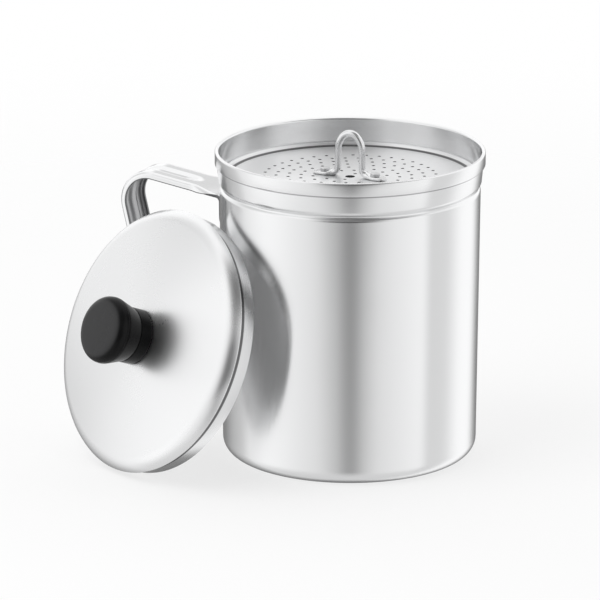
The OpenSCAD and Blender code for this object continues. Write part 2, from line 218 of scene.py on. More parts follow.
def vectorMath(tree, operation, a, b=(0, 0, 0), output=0):
    return addNode(tree, "ShaderNodeVectorMath", {0: a, 1: b}, operation=operation).outputs[output]


def giveBump(tree, shader, height, strength, depth):
    bump = addNode(tree, "ShaderNodeBump", {"Height": height, "Strength": strength, "Distance": depth})
    tree.links.new(bump.outputs[0], shader.inputs["Normal"])


upright = Matrix.Identity(4)
spinning = {"slant": 1.3, "lineShare": 0.7, "cloudShine": (-0.03, 0.05), "lineDepth": 0.00004}
polishing = {"markShine": 0.03, "cloudScale": 60, "cloudShine": (-0.03, 0.04), "markDepth": 0.00004}


# spun sheet: fine lines run round the axis, and its shine is drawn out across them
def spunMetal(name, finish, place=upright):
    material, tree, shader = newMaterial(name)
    shader.inputs["Metallic"].default_value = 1
    shader.inputs["Anisotropic"].default_value = finish["drawnOut"]
    shader.inputs["Anisotropic Rotation"].default_value = 0.25
    where = addNode(tree, "ShaderNodeTexCoord").outputs["Object"]
    turn = place.to_euler()
    local = addNode(tree, "ShaderNodeMapping", {"Vector": where, "Location": place.translation,
                                               "Rotation": turn}, vector_type="TEXTURE").outputs[0]
    roundAxis = vectorMath(tree, "CROSS_PRODUCT", (0, 0, 1), local)
    outOfLocal = addNode(tree, "ShaderNodeMapping", {"Vector": roundAxis, "Rotation": turn},
                         vector_type="VECTOR").outputs[0]
    world = addNode(tree, "ShaderNodeVectorTransform", {"Vector": outOfLocal}, vector_type="VECTOR",
                    convert_from="OBJECT", convert_to="WORLD").outputs[0]
    tree.links.new(vectorMath(tree, "NORMALIZE", world), shader.inputs["Tangent"])

    parts = addNode(tree, "ShaderNodeSeparateXYZ", {0: local}).outputs
    flatPart = addNode(tree, "ShaderNodeCombineXYZ", {0: parts[0], 1: parts[1]}).outputs[0]
    radius = vectorMath(tree, "LENGTH", flatPart, output="Value")
    heading = vectorMath(tree, "NORMALIZE", flatPart)
    run = mathNode(tree, "ADD", parts[2], mathNode(tree, "MULTIPLY", radius, spinning["slant"]))
    across = mathNode(tree, "MULTIPLY", run, 1 / finish["linePitch"])
    slow = addNode(tree, "ShaderNodeVectorMath", {0: heading, "Scale": finish["roundScale"]},
                   operation="SCALE").outputs[0]
    lift = addNode(tree, "ShaderNodeCombineXYZ", {2: across}).outputs[0]
    lines = noise(tree, vectorMath(tree, "ADD", slow, lift), 1, 3, 0.65)
    broad = noise(tree, local, finish["cloudScale"], 4, 0.55)
    low, high = [finish["roughness"] + change for change in spinning["cloudShine"]]
    shine = mathNode(tree, "ADD", spread(tree, lines, -finish["lineShine"], finish["lineShine"]),
                     spread(tree, broad, low, high))
    tree.links.new(shine, shader.inputs["Roughness"])
    pattern = mathNode(tree, "ADD", mathNode(tree, "MULTIPLY", lines, spinning["lineShare"]),
                       mathNode(tree, "MULTIPLY", broad, 1 - spinning["lineShare"]))
    tone = blendColour(tree, pattern, finish["dark"], finish["light"])
    # painted shade: the base colour is darkened in a band where shadow falls, under the can's folded
    # rim, below the lid's step and in the strainer's corner under its curl
    paintedShade = finish["paintedShade"]
    reach = radius if paintedShade["along"] == "radius" else parts[2]
    start, end, fade, beyond = [paintedShade[key] * mm for key in ("start", "end", "fade", "beyond")]
    strength = mathNode(tree, "MULTIPLY", between(tree, reach, start - fade, start),
                        between(tree, reach, end + 0.25 * mm, end))
    strength = mathNode(tree, "MULTIPLY", strength, between(tree, radius, beyond - 0.2 * mm, beyond))
    tone = blendColour(tree, strength, tone, (paintedShade["tone"], paintedShade["tone"], paintedShade["tone"] * 1.02, 1))
    tree.links.new(tone, shader.inputs["Base Color"])
    giveBump(tree, shader, lines, finish["bump"], spinning["lineDepth"])
    return material


# polished sheet or wire: cloudy satin with short fine marks along the given direction
def satinMetal(name, finish):
    material, tree, shader = newMaterial(name)
    shader.inputs["Metallic"].default_value = 1
    where = addNode(tree, "ShaderNodeTexCoord").outputs["Object"]
    marks = noise(tree, vectorMath(tree, "MULTIPLY", where, finish["stretch"]), 1, 4, 0.6)
    broad = noise(tree, where, polishing["cloudScale"], 3)
    low, high = [finish["roughness"] + change for change in polishing["cloudShine"]]
    shine = mathNode(tree, "ADD", spread(tree, marks, -polishing["markShine"], polishing["markShine"]),
                     spread(tree, broad, low, high))
    tree.links.new(shine, shader.inputs["Roughness"])
    tone = blendColour(tree, marks, finish["dark"], finish["light"])
    tree.links.new(tone, shader.inputs["Base Color"])
    giveBump(tree, shader, marks, finish["bump"], polishing["markDepth"])
    return material


def paintedHoleShade(name):  # painted shade: near-black, non-metal walls and dimples for the punched holes, where shade falls
    material, tree, shader = newMaterial(name)
    where = addNode(tree, "ShaderNodeTexCoord").outputs["Object"]
    grain = noise(tree, where, 3000, 2)
    tone = blendColour(tree, grain, (0.03, 0.03, 0.032, 1), (0.07, 0.07, 0.073, 1))
    tree.links.new(tone, shader.inputs["Base Color"])
    tree.links.new(spread(tree, grain, 0.5, 0.7), shader.inputs["Roughness"])
    return material


def aluminium(tone):
    return (tone, tone + 0.003, tone + 0.008, 1)


finishes = {
    "can": {"light": aluminium(0.83), "dark": aluminium(0.79), "roughness": 0.2, "drawnOut": 0.85,
            "linePitch": 0.0004, "roundScale": 3, "cloudScale": 30, "lineShine": 0.03, "bump": 0.04,
            "paintedShade": {"along": "height", "start": 129.8, "end": 130.25, "fade": 0.3, "beyond": 57.9,
                       "tone": 0.4}},
    "lid": {"light": aluminium(0.86), "dark": aluminium(0.84), "roughness": 0.27, "drawnOut": 0.7,
            "linePitch": 0.0004, "roundScale": 3, "cloudScale": 30, "lineShine": 0.01, "bump": 0.01,
            "paintedShade": {"along": "height", "start": -4, "end": -2, "fade": 0.5, "beyond": 56.8,
                       "tone": 0.16}},
    "strainer": {"light": aluminium(0.83), "dark": aluminium(0.79), "roughness": 0.37, "drawnOut": 0.5,
                 "linePitch": 0.0005, "roundScale": 3, "cloudScale": 40, "lineShine": 0.03,
                 "bump": 0.06,
                 "paintedShade": {"along": "radius", "start": 53.2, "end": 53.9, "fade": 0.7, "beyond": 1,
                            "tone": 0.14}},
    "wire": {"light": aluminium(0.83), "dark": aluminium(0.78), "roughness": 0.24,
             "stretch": (900, 900, 300), "bump": 0.03},
    "strap": {"light": aluminium(0.84), "dark": aluminium(0.8), "roughness": 0.16,
              "stretch": (250, 1800, 250), "bump": 0.05},
    # painted shade: darker copies of the strap's metal for its inner side and its cut edges, where
    # shade falls
    "strapInsidePaintedShade": {"light": aluminium(0.42), "dark": aluminium(0.34), "roughness": 0.36,
                    "stretch": (250, 1800, 250), "bump": 0.05},
    "strapEdgePaintedShade": {"light": (0.21, 0.212, 0.215, 1), "dark": (0.15, 0.152, 0.155, 1), "roughness": 0.4,
                  "stretch": (250, 1800, 250), "bump": 0.05},
    "rivet": {"light": aluminium(0.66), "dark": aluminium(0.58), "roughness": 0.3,
              "stretch": (1200, 1200, 1200), "bump": 0.1},
    "steel": {"light": (0.6, 0.61, 0.63, 1), "dark": (0.5, 0.51, 0.53, 1), "roughness": 0.3,
              "stretch": (1200, 1200, 1200), "bump": 0.1},
    "brass": {"light": (0.83, 0.64, 0.3, 1), "dark": (0.72, 0.53, 0.24, 1), "roughness": 0.3,
              "stretch": (900, 900, 900), "bump": 0.1},
}

phenolic = {
    "dark": (0.004, 0.004, 0.0042, 1),
    "light": (0.008, 0.008, 0.0084, 1),
    "paintedSheen": (0.042, 0.042, 0.043, 1),
    "paintedSheenFrom": 1.6,
    "paintedSheenTo": 0.5,
    "roughness": 0.26,
    "cloudShine": 0.05,
    "grainShine": 0.03,
    "shine": 0.11,
    "grainScale": 2600,
    "cloudScale": 90,
    "bump": 0.05,
    "grainDepth": 0.00003,
}


def mouldedPhenolic():
    material, tree, shader = newMaterial("blackPhenolic")
    shader.inputs["Specular IOR Level"].default_value = phenolic["shine"]
    where = addNode(tree, "ShaderNodeTexCoord").outputs["Object"]
    grain = noise(tree, where, phenolic["grainScale"], 3, 0.6)
    cloud = noise(tree, where, phenolic["cloudScale"], 4)
    tone = blendColour(tree, cloud, phenolic["dark"], phenolic["light"])
    # painted sheen: the flat end is painted paler, in place of the reflection that its low shine leaves
    # out
    facing = (lidPlace.to_3x3() @ Vector((0, 0, 1))).normalized()
    front = (lidPlace.translation + facing * (seatZ + knob["height"]) * mm).dot(facing)
    ahead = vectorMath(tree, "DOT_PRODUCT", where, facing, "Value")
    paintedSheen = between(tree, ahead, front - phenolic["paintedSheenFrom"] * mm, front - phenolic["paintedSheenTo"] * mm)
    tree.links.new(blendColour(tree, paintedSheen, tone, phenolic["paintedSheen"]), shader.inputs["Base Color"])
    roughness, cloudShine = phenolic["roughness"], phenolic["cloudShine"]
    shine = mathNode(tree, "ADD", spread(tree, grain, -phenolic["grainShine"], phenolic["grainShine"]),
                     spread(tree, cloud, roughness - cloudShine, roughness + cloudShine))
    tree.links.new(shine, shader.inputs["Roughness"])
    giveBump(tree, shader, grain, phenolic["bump"], phenolic["grainDepth"])
    return material


# the can: one sheet from the middle of its base up to the folded rim

can = {
    "height": 136.3,
    "sheet": 0.85,
    "foot": (55.8, 0, 7),
    "shoulder": (57, 119.25, 1.9),
    "groove": (55.7, 120.4, 0.8),
    "neckLow": (57.35, 122.5, 2.2),
    "neckTop": (58.1, 130.3, 0),
    "foldRadius": 0.45,
    "edgeRound": 0.36,
    "steps": 160,
}


def buildCan():
    foldZ = can["height"] - can["foldRadius"] - can["sheet"] / 2
    outside = roundedPath([(0, 0, 0), can["foot"], can["shoulder"], can["groove"], can["neckLow"],
                           can["neckTop"], (can["neckTop"][0], foldZ, 0)])
    sheet = movedSideways(outside, can["sheet"] / 2)
    foldAt = (sheet[-1].x + can["foldRadius"], foldZ)
    sheet += arcPath(foldAt, sheet[-1], -180, 10)
    sheet.append(Vector((sheet[-1].x, can["neckTop"][1])))
    piece = makePiece("canShell", turnedShape(sheet, can["steps"]))
    giveThickness(piece, can["sheet"], can["edgeRound"])
    bakeModifiers(piece)
    return piece


canShell = buildCan()
print("can made")


# the strainer: a shallow dish with a curled edge, and holes with a faint dimple each

strainer = {
    "sheet": 0.8,
    "plateZ": 124.2,
    "plateRadius": 53.7065,
    "plateRound": 1.5,
    "sideTop": (54.4282, 125.45),
    "curlCentre": (55.3808, 124.9),
    "curlTurn": -255,
    "ringPitch": 5.4,
    "holePitch": 5.9,
    "rings": 7,
    "hole": 1.3,
    "dimple": 1.55,
    "centreHole": 3.8,
    "centreDimple": 4.3,
    "footTip": 17.5,
    "legInside": 4.25,
    "footWidth": 6,
    "steps": 160,
}


def holePlaces():  # none under the loop's feet
    places = []
    for ring in range(1, strainer["rings"] + 1):
        radius = ring * strainer["ringPitch"]
        count = round(2 * pi * radius / strainer["holePitch"])
        for i in range(count):
            angle = (i + 0.5) * 2 * pi / count
            x, y = radius * cos(angle), radius * sin(angle)
            underFoot = (strainer["legInside"] < abs(x) < strainer["footTip"] + strainer["hole"]
                         and abs(y) < (strainer["footWidth"] + strainer["hole"]) / 2)
            if not underFoot:
                places.append((x, y))
    return places


def holePunch(bm, x, y, hole, dimple, steps):
    depth = (dimple - hole) / 2
    low, high = -2, 0.4  # through the plate and clear of it
    path = [Vector(p) for p in ((0, low), (hole / 2, low), (hole / 2, -depth), (dimple / 2, 0),
                                (dimple / 2, high), (0, high))]
    punch = turnedShape(path, steps)
    bmesh.ops.recalc_face_normals(punch, faces=punch.faces)
    bmesh.ops.translate(punch, verts=punch.verts, vec=(x * mm, y * mm, strainer["plateZ"] * mm))
    mesh = bpy.data.meshes.new("punch")
    punch.to_mesh(mesh)
    punch.free()
    bm.from_mesh(mesh)
    bpy.data.meshes.remove(mesh)


def buildStrainer():
    plateZ = strainer["plateZ"]
    top = roundedPath([(0, plateZ, 0), (strainer["plateRadius"], plateZ, strainer["plateRound"]),
                       (*strainer["sideTop"], 0)])
    top += arcPath(strainer["curlCentre"], strainer["sideTop"], strainer["curlTurn"], 30)
    sheet = movedSideways(top, -strainer["sheet"] / 2)
    piece = makePiece("strainerDish", turnedShape(sheet, strainer["steps"]))
    giveThickness(piece, strainer["sheet"], 0)
    punches = bmesh.new()
    for x, y in holePlaces():
        holePunch(punches, x, y, strainer["hole"], strainer["dimple"], 14)
    holePunch(punches, 0, 0, strainer["centreHole"], strainer["centreDimple"], 32)
    cutter = makePiece("punches", punches, recalculate=False)
    piece.data.materials.append(spunMetal("spunStrainer", finishes["strainer"]))
    # painted shade: the holes' walls and dimples are cut with the punches' dark material
    cutter.data.materials.append(paintedHoleShade("holeWallsPaintedShade"))
    drill = piece.modifiers.new("holes", "BOOLEAN")
    drill.operation = "DIFFERENCE"
    drill.solver = "EXACT"
    drill.material_mode = "TRANSFER"
    drill.object = cutter
    bakeModifiers(piece)
    bpy.data.objects.remove(cutter)
    return piece


strainerDish = buildStrainer()
print("strainer made, with", len(holePlaces()), "holes")


# the strainer's loop: one wire, bent outwards and hammered flat at both ends

loop = {
    "wire": 3,
    "legX": 5.75,
    "sideRadius": 9,
    "topRadius": 4.4,
    "top": 145.1,
    "bend": 3.1,
    "footThickness": 1.4,
    "footWidth": 6,
    "footTip": 17.5,
    "tipThickness": 0.8,
    "thinFrom": 13.5,
    "footSections": (13.5, 12, 10.8),
    "footLift": 1.05,
    "flatFrom": 10.45,
    "segments": 24,
}


# each section is x, z, tilt, half thickness and half width, from the left tip to the arch's top
def loopSections():
    wire, legX, bend = loop["wire"] / 2, loop["legX"], loop["bend"]
    plateZ, thin, wide = strainer["plateZ"], loop["footThickness"] / 2, loop["footWidth"] / 2
    tip = loop["footTip"]
    sections = []
    for k in range(7):  # the rounded tip
        dx = wide * cos(radians(15 * k + 2))
        sections.append((-(tip - wide + dx), plateZ + thin, 90, wire * 0.9,
                         max(0.3, wide * sin(radians(min(90, 15 * k + 2))))))
    for x in loop["footSections"]:
        sections.append((-x, plateZ + thin, 90, wire * 0.95, wide))
    bendZ = plateZ + loop["footLift"] + bend
    for k in range(9):
        angle = radians(90 * k / 8)
        flat = max(0, 1 - k / 4)
        sections.append((-(legX + bend - bend * sin(angle)), bendZ - bend * cos(angle),
                         90 - 90 * k / 8, wire, wire + (wide - wire) * 0.45 * flat))
    sideRadius, topRadius = loop["sideRadius"], loop["topRadius"]
    topZ = loop["top"] - wire - topRadius
    turn = acos((sideRadius - legX) / (sideRadius - topRadius))
    archZ = topZ - (sideRadius - topRadius) * sin(turn)
    sections.append((-legX, (bendZ + archZ) / 2, 0, wire, wire))
    for k in range(6):
        angle = turn * k / 5
        sections.append((sideRadius - legX - sideRadius * cos(angle),
                         archZ + sideRadius * sin(angle), degrees(angle), wire, wire))
    for k in range(1, 7):
        angle = turn + (pi / 2 - turn) * k / 6
        sections.append((-topRadius * cos(angle), topZ + topRadius * sin(angle), degrees(angle),
                         wire, wire))
    return sections


def buildLoop():
    half = loopSections()
    whole = half + [(-x, z, 180 - tilt, thick, width) for x, z, tilt, thick, width in half[-2::-1]]
    bm = bmesh.new()
    bmesh.ops.create_circle(bm, segments=loop["segments"], radius=1)
    ring = list(bm.edges)
    last = Matrix.Identity(4)
    for i, (x, z, tilt, thick, width) in enumerate(whole):
        size = Matrix.Diagonal((thick * mm, width * mm, 1, 1))
        place = Matrix.Translation((x * mm, 0, z * mm)) @ Matrix.Rotation(radians(tilt), 4, "Y") @ size
        if i:
            made = bmesh.ops.extrude_edge_only(bm, edges=ring)["geom"]
            ring = [g for g in made if isinstance(g, bmesh.types.BMEdge)
                    and all(v in made for v in g.verts)]
            verts = [g for g in made if isinstance(g, bmesh.types.BMVert)]
        else:
            verts = list(bm.verts)
        bmesh.ops.transform(bm, matrix=place @ last.inverted(), verts=verts)
        last = place
    bmesh.ops.holes_fill(bm, edges=[e for e in bm.edges if e.is_boundary])
    for v in bm.verts:  # hammered flat on the plate, thinner towards the tip
        x = abs(v.co.x) / mm
        thinner = smoothStep(loop["thinFrom"], loop["footTip"], x)
        high = (strainer["plateZ"] + loop["footThickness"]
                - (loop["footThickness"] - loop["tipThickness"]) * thinner)
        v.co.z = max(v.co.z, strainer["plateZ"] * mm)
        if x > loop["flatFrom"]:
            v.co.z = min(v.co.z, high * mm)
    piece = makePiece("strainerLoop", bm)
    fine = piece.modifiers.new("fine", "SUBSURF")
    fine.levels = fine.render_levels = 1
    bakeModifiers(piece)
    return piece


strainerLoop = buildLoop()
print("loop made")


# rivets, turned, with their edges softened

rivets = {
    "shank": 1.5,
    "loopX": 12,
    "loopHead": 2.1,
    "loopHeadHeight": 1.4,
    "tail": 0.8,
    "strapHead": 3.2,
    "strapHeadHeight": 1.4,
    "strapGrip": 1.45,
    "strapDome": 1.5,
    "canCurve": 0.142,
    "strapGap": 15,
    "strapHeights": {"Upper": 105.06, "Lower": 32.88},
}


def buildLoopRivet(name, side):
    head, shank, tail = rivets["loopHead"], rivets["shank"], rivets["tail"]
    low, top = -strainer["sheet"], loop["footThickness"]
    path = roundedPath([
        (0, low - tail, 0), (head, low - tail, 0.3), (head, low, 0.15), (shank, low, 0),
        (shank, top, 0), (head, top, 0.15), (head, top + rivets["loopHeadHeight"], 0.35),
        (0, top + rivets["loopHeadHeight"], 0)], 18)
    place = Matrix.Translation((side * rivets["loopX"] * mm, 0, strainer["plateZ"] * mm))
    piece = makePiece(name, turnedShape(path, 32), place)
    smoothShade(piece.data)
    return piece


def buildStrapRivet(name, height, side):
    head, shank, tail = rivets["strapHead"], rivets["shank"], rivets["tail"]
    domeRadius, top = head * rivets["strapDome"], rivets["strapGrip"]
    low = -can["sheet"] - tail - rivets["canCurve"]
    domeCentre = top + rivets["strapHeadHeight"] - domeRadius
    dome = [Vector((domeRadius * sin(a), domeCentre + domeRadius * cos(a)))
            for a in (asin(head * k / 8 / domeRadius) for k in range(8, -1, -1))]
    path = roundedPath([
        (0, low, 0), (head, low, 0.3), (head, low + tail, 0.2), (shank, low + tail, 0),
        (shank, top, 0), (head, top, 0)], 18) + dome
    footRadius = can["foot"][0]
    topRadius, topZ = can["shoulder"][:2]
    sideRadius = footRadius + (topRadius - footRadius) * height / topZ
    turn = pi + side * asin(rivets["strapGap"] / 2 / topRadius)
    place = (Matrix.Rotation(turn, 4, "Z") @ Matrix.Translation((sideRadius * mm, 0, height * mm))
             @ Matrix.Rotation(pi / 2, 4, "Y"))
    piece = makePiece(name, turnedShape(path, 32), place)
    smoothShade(piece.data, 50)
    return piece


loopRivets = {
    "strainer_rivet_left": buildLoopRivet("loopRivetLeft", -1),
    "strainer_rivet_right": buildLoopRivet("loopRivetRight", 1),
}
strapRivets = {}
for level, height in rivets["strapHeights"].items():
    for handedness, side in (("Left", 1), ("Right", -1)):
        node = "handle_rivet_" + level.lower() + "_" + handedness.lower()
        strapRivets[node] = buildStrapRivet("strapRivet" + level + handedness, height, side)
print("rivets made")


# the handle: a strap of sheet with turned edges, a pressed channel and two curved tabs

handle = {
    "sheet": 1.3,
    "width": 19.5,
    "endWidth": 30,
    "flare": 16,
    "edgeDepth": 3,
    "edgeBend": 1.45,
    "edgeRound": 0.42,
    "canRadius": 57,
    "outline": [(56.908, 99.6, 0), (57.039, 112.6, 3), (112.4, 120.88, 14), (96.824, 56, 22),
                (57.615, 41, 6), (57.473, 27, 0)],
    "faceShare": 0.76,
    "edgesTurn": (58, 70),
    "canCurve": (59, 67),
    "topAbove": 80,
    "channelStart": 71,
    "channelHalf": 4,
    "channelSide": (-0.2, 2.9),
    "channelDepth": 1,
    "channelShallow": 0.35,
    "channelDeepens": 9,
    "channelEnd": (57, 63),
    "tabRound": 4,
    "along": 220,
    "across": 60,
}


def pathSampler(path):  # gives the point and direction at a share of the path's length
    lengths = [0]
    for a, b in zip(path, path[1:]):
        lengths.append(lengths[-1] + (b - a).length)

    def sample(share):
        wanted = share * lengths[-1]
        i = max(k for k in range(len(path) - 1) if lengths[k] <= wanted + 1e-9)
        t = (wanted - lengths[i]) / (lengths[i + 1] - lengths[i])
        return path[i].lerp(path[i + 1], min(1, t)), wanted, lengths[-1]
    return sample


def strapHalfWidth(reach):
    share = min(1, max(0, (reach - handle["canRadius"]) / handle["flare"]))
    return handle["width"] / 2 + (handle["endWidth"] - handle["width"]) / 4 * (1 + cos(pi * share))


def strapCross(across, half, turned):  # place and depth over the strap's width
    sheet, bend, faceShare = handle["sheet"], handle["edgeBend"], handle["faceShare"]
    flatEnd = half - sheet / 2 - bend
    if abs(across) <= faceShare:
        y, depth = flatEnd * abs(across) / faceShare, 0
    else:
        share = (abs(across) - faceShare) / (1 - faceShare)
        arc, flange = bend * pi / 2, handle["edgeDepth"] - sheet / 2 - bend
        run = share * (arc + flange)
        angle = min(run, arc) / bend
        bent, flat = flatEnd + bend * sin(angle), flatEnd + share * (half - flatEnd)
        y = flat * (1 - turned) + bent * turned
        depth = (bend * (1 - cos(angle)) + max(0, run - arc)) * turned
    return y if across > 0 else -y, depth


def channelShare(spot, y):  # its round end runs out towards the can
    onTop = spot.y > handle["topAbove"]
    start, half = handle["channelStart"], handle["channelHalf"]
    inside = half - (Vector((min(0, spot.x - start - half), y)).length if onTop else abs(y))
    pressed = smoothStep(*handle["channelSide"], inside) * smoothStep(*handle["channelEnd"], spot.y)
    if onTop:
        shallow = handle["channelShallow"]
        pressed *= shallow + (1 - shallow) * smoothStep(start, start + handle["channelDeepens"], spot.x)
    return pressed


def strapPoint(sample, share, across):  # across runs from -1 to 1
    spot, travelled, total = sample(share)
    ahead, behind = sample(min(1, share + 0.002))[0], sample(max(0, share - 0.002))[0]
    direction = (ahead - behind).normalized()
    inward = Vector((direction.y, -direction.x))
    half = strapHalfWidth(spot.x)
    fromEnd, tabRound = min(travelled, total - travelled), handle["tabRound"]
    if fromEnd < tabRound:
        half -= tabRound - sqrt(tabRound ** 2 - (tabRound - fromEnd) ** 2)
    y, depth = strapCross(across, half, smoothStep(*handle["edgesTurn"], spot.x))
    depth += handle["channelDepth"] * channelShare(spot, y)
    spot = spot + inward * (depth + handle["sheet"] / 2)
    curved = 1 - smoothStep(*handle["canCurve"], spot.x)  # the tabs follow the can
    reach = spot.x - curved * (spot.x - sqrt(spot.x ** 2 - y * y))
    return Vector((-reach, y, spot.y)) * mm


def buildHandle():
    bm = bmesh.new()
    bm.loops.layers.uv.new("strapUV")
    bmesh.ops.create_grid(bm, x_segments=handle["across"], y_segments=handle["along"], size=1,
                          calc_uvs=True)
    sample = pathSampler(roundedPath(handle["outline"], 4))
    for face in bm.faces:  # painted shade: the strips at the flanges' ends get the darkest copy of the metal
        if abs(face.calc_center_median().x) > 1 - 2 / handle["across"]:
            face.material_index = 2
    for v in bm.verts:
        v.co = strapPoint(sample, (v.co.y + 1) / 2, v.co.x)
    piece = makePiece("handleStrap", bm)
    giveThickness(piece, handle["sheet"], handle["edgeRound"], 2)
    # painted shade: inner faces take the darker copy, and the cut rim and bevels the darkest
    piece.modifiers["sheet"].material_offset = 1
    piece.modifiers["sheet"].material_offset_rim = 2
    for name in ("strap", "strapInsidePaintedShade", "strapEdgePaintedShade"):
        piece.data.materials.append(satinMetal(name, finishes[name]))
    bakeModifiers(piece)
    return piece


handleStrap = buildHandle()
print("handle made")


# the lid stands on its edge and leans on the can

lid = {
    "facing": 243,
    "lean": 21,
    "place": (83.5625, -34.8, 56.9077),
    "sheet": 0.6,
    "top": 8.494,
    "domeRadius": 272,
    "seatRadius": 13.2,
    "domeEnd": 52,
    "shoulder": (55.8, 8),
    "step": (58.5, -1.9, 0.4),
    "collar": (56.95, -1.9, 0.35),
    "collarEnd": -9.6,
    "edgeRound": 0.15,
    "screwHole": 2.05,
    "domeRings": 12,
    "steps": 160,
}

lidPlace = (Matrix.Rotation(radians(lid["facing"]), 4, "Z")
            @ Matrix.Translation(Vector(lid["place"]) * mm)
            @ Matrix.Rotation(radians(90 - lid["lean"]), 4, "Y"))


def domeZ(radius):
    return sqrt(lid["domeRadius"] ** 2 - radius ** 2) - lid["domeRadius"] + lid["top"]


seatZ = domeZ(lid["seatRadius"])


def buildLid():
    inner, outer, rings = lid["seatRadius"], lid["domeEnd"], lid["domeRings"]
    dome = [inner + (outer - inner) * k / rings for k in range(1, rings + 1)]
    shoulder, shoulderRound = lid["shoulder"]
    outside = roundedPath([(lid["screwHole"], seatZ, 0), (inner, seatZ, 0),
                           *[(r, domeZ(r), 0) for r in dome],
                           (shoulder, domeZ(shoulder), shoulderRound), lid["step"], lid["collar"],
                           (lid["collar"][0], lid["collarEnd"], 0)])
    middle = movedSideways(outside, -lid["sheet"] / 2)
    piece = makePiece("lidCover", turnedShape(middle, lid["steps"]), lidPlace)
    giveThickness(piece, lid["sheet"], lid["edgeRound"])
    bakeModifiers(piece)
    return piece


lidCover = buildLid()
print("lid made")


# the knob, moulded round its brass insert

knob = {
    "footRadius": 12.2,
    "footRound": 1.2,
    "footHeight": 6.5,
    "ringDepth": 0.5,
    "ringRound": 0.15,
    "radius": 14.7,
    "bellRound": 4,
    "headHeight": 6.3,
    "headRound": 4.6,
    "height": 21.4,
    "seamLift": 0.8,
    "seamWidth": 0.16,
    "seam": 0.05,
    "bore": 4.02,
    "boreDepth": 11,
    "steps": 128,
}


def buildKnob():
    foot, low, ring, soft = knob["footRadius"], knob["footHeight"], knob["ringDepth"], knob["ringRound"]
    head, top, seamWidth = knob["radius"], knob["height"], knob["seamWidth"]
    headZ = top - knob["headHeight"]
    seamZ = headZ + knob["seamLift"]
    path = roundedPath([
        (0, knob["boreDepth"], 0),
        (knob["bore"], knob["boreDepth"], 0),
        (knob["bore"], 0, 0.2),
        (foot, 0, knob["footRound"]),
        (foot, low, soft),
        (foot - ring, low + 0.05, soft),
        (foot - ring, low + ring - 0.05, soft),
        (foot, low + ring, soft),
        (head, headZ, knob["bellRound"]),
        (head, seamZ, 0),
        (head + knob["seam"], seamZ + seamWidth / 2, 0),
        (head, seamZ + seamWidth, 0),
        (head, top - 0.5, knob["headRound"]),
        (0, top, 0)], 6)
    place = lidPlace @ Matrix.Translation((0, 0, seatZ * mm))
    piece = makePiece("lidKnob", turnedShape(path, knob["steps"]), place)
    smoothShade(piece.data, 60)
    return piece


lidKnob = buildKnob()
print("knob made")


# dressing the pieces

def dress(piece, material, body, slot, *nodes):
    if material:
        piece.data.materials.clear()
        piece.data.materials.append(material)
    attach(piece, body)
    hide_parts(*nodes)


dress(canShell, spunMetal("spunCan", finishes["can"]), "container", "can_aluminium", "container_body")
dress(strainerDish, None, "strainer", "strainer_aluminium", "strainer_tray")
dress(strainerLoop, satinMetal("drawnWire", finishes["wire"]), "strainer", "wire_aluminium",
      "strainer_loop")
dress(handleStrap, None, "container", "handle_aluminium", "handle_strap")
dress(lidCover, spunMetal("spunLid", finishes["lid"], lidPlace), "lid", "lid_aluminium", "lid_cover")
dress(lidKnob, mouldedPhenolic(), "lid", "knob_phenolic", "lid_knob")
rivetMetal = satinMetal("rivetMetal", finishes["rivet"])
for nodeName, piece in loopRivets.items():
    dress(piece, rivetMetal, "strainer", "rivet_aluminium", nodeName)
for nodeName, piece in strapRivets.items():
    dress(piece, rivetMetal, "container", "rivet_aluminium", nodeName)

keptNodes = {
    "knob_insert": satinMetal("insertBrass", finishes["brass"]),
    "knob_screw": satinMetal("screwSteel", finishes["steel"]),
}
keptNodes["knob_washer"] = keptNodes["knob_screw"]
for nodeName, material in keptNodes.items():
    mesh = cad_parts[nodeName].data
    mesh.materials.clear()
    mesh.materials.append(material)
print("materials given")


# a plain pale table that fades into the white behind it

table = {"radius": 0.9, "fadeFrom": 0.3, "fadeTo": 0.8, "tone": 0.9, "glow": 0.7}


def buildTable():
    bm = bmesh.new()
    bmesh.ops.create_circle(bm, cap_ends=True, segments=96, radius=table["radius"])
    piece = makePiece("tableTop", bm)
    piece.visible_glossy = False
    material = bpy.data.materials.new("paleTable")
    material.use_nodes = True
    tree = material.node_tree
    tree.nodes.clear()
    where = addNode(tree, "ShaderNodeTexCoord").outputs["Object"]
    far = vectorMath(tree, "LENGTH", where, output="Value")
    fade = between(tree, far, table["fadeFrom"], table["fadeTo"])
    cloth = addNode(tree, "ShaderNodeBsdfDiffuse", {"Color": (table["tone"],) * 3 + (1,)})
    glow = addNode(tree, "ShaderNodeEmission", {"Color": (1, 1, 1, 1), "Strength": 1.0})
    seen = addNode(tree, "ShaderNodeLightPath").outputs["Is Camera Ray"]
    glowing = mathNode(tree, "MULTIPLY", seen, table["glow"])
    lit = addNode(tree, "ShaderNodeMixShader", {0: glowing, 1: cloth.outputs[0], 2: glow.outputs[0]})
    clear = addNode(tree, "ShaderNodeBsdfTransparent")
    both = addNode(tree, "ShaderNodeMixShader", {0: fade, 1: lit.outputs[0], 2: clear.outputs[0]})
    addNode(tree, "ShaderNodeOutputMaterial", {"Surface": both.outputs[0]})
    piece.data.materials.append(material)
    return piece


buildTable()


# studio: light screens all round, with the soft grey gaps between them that the metal mirrors

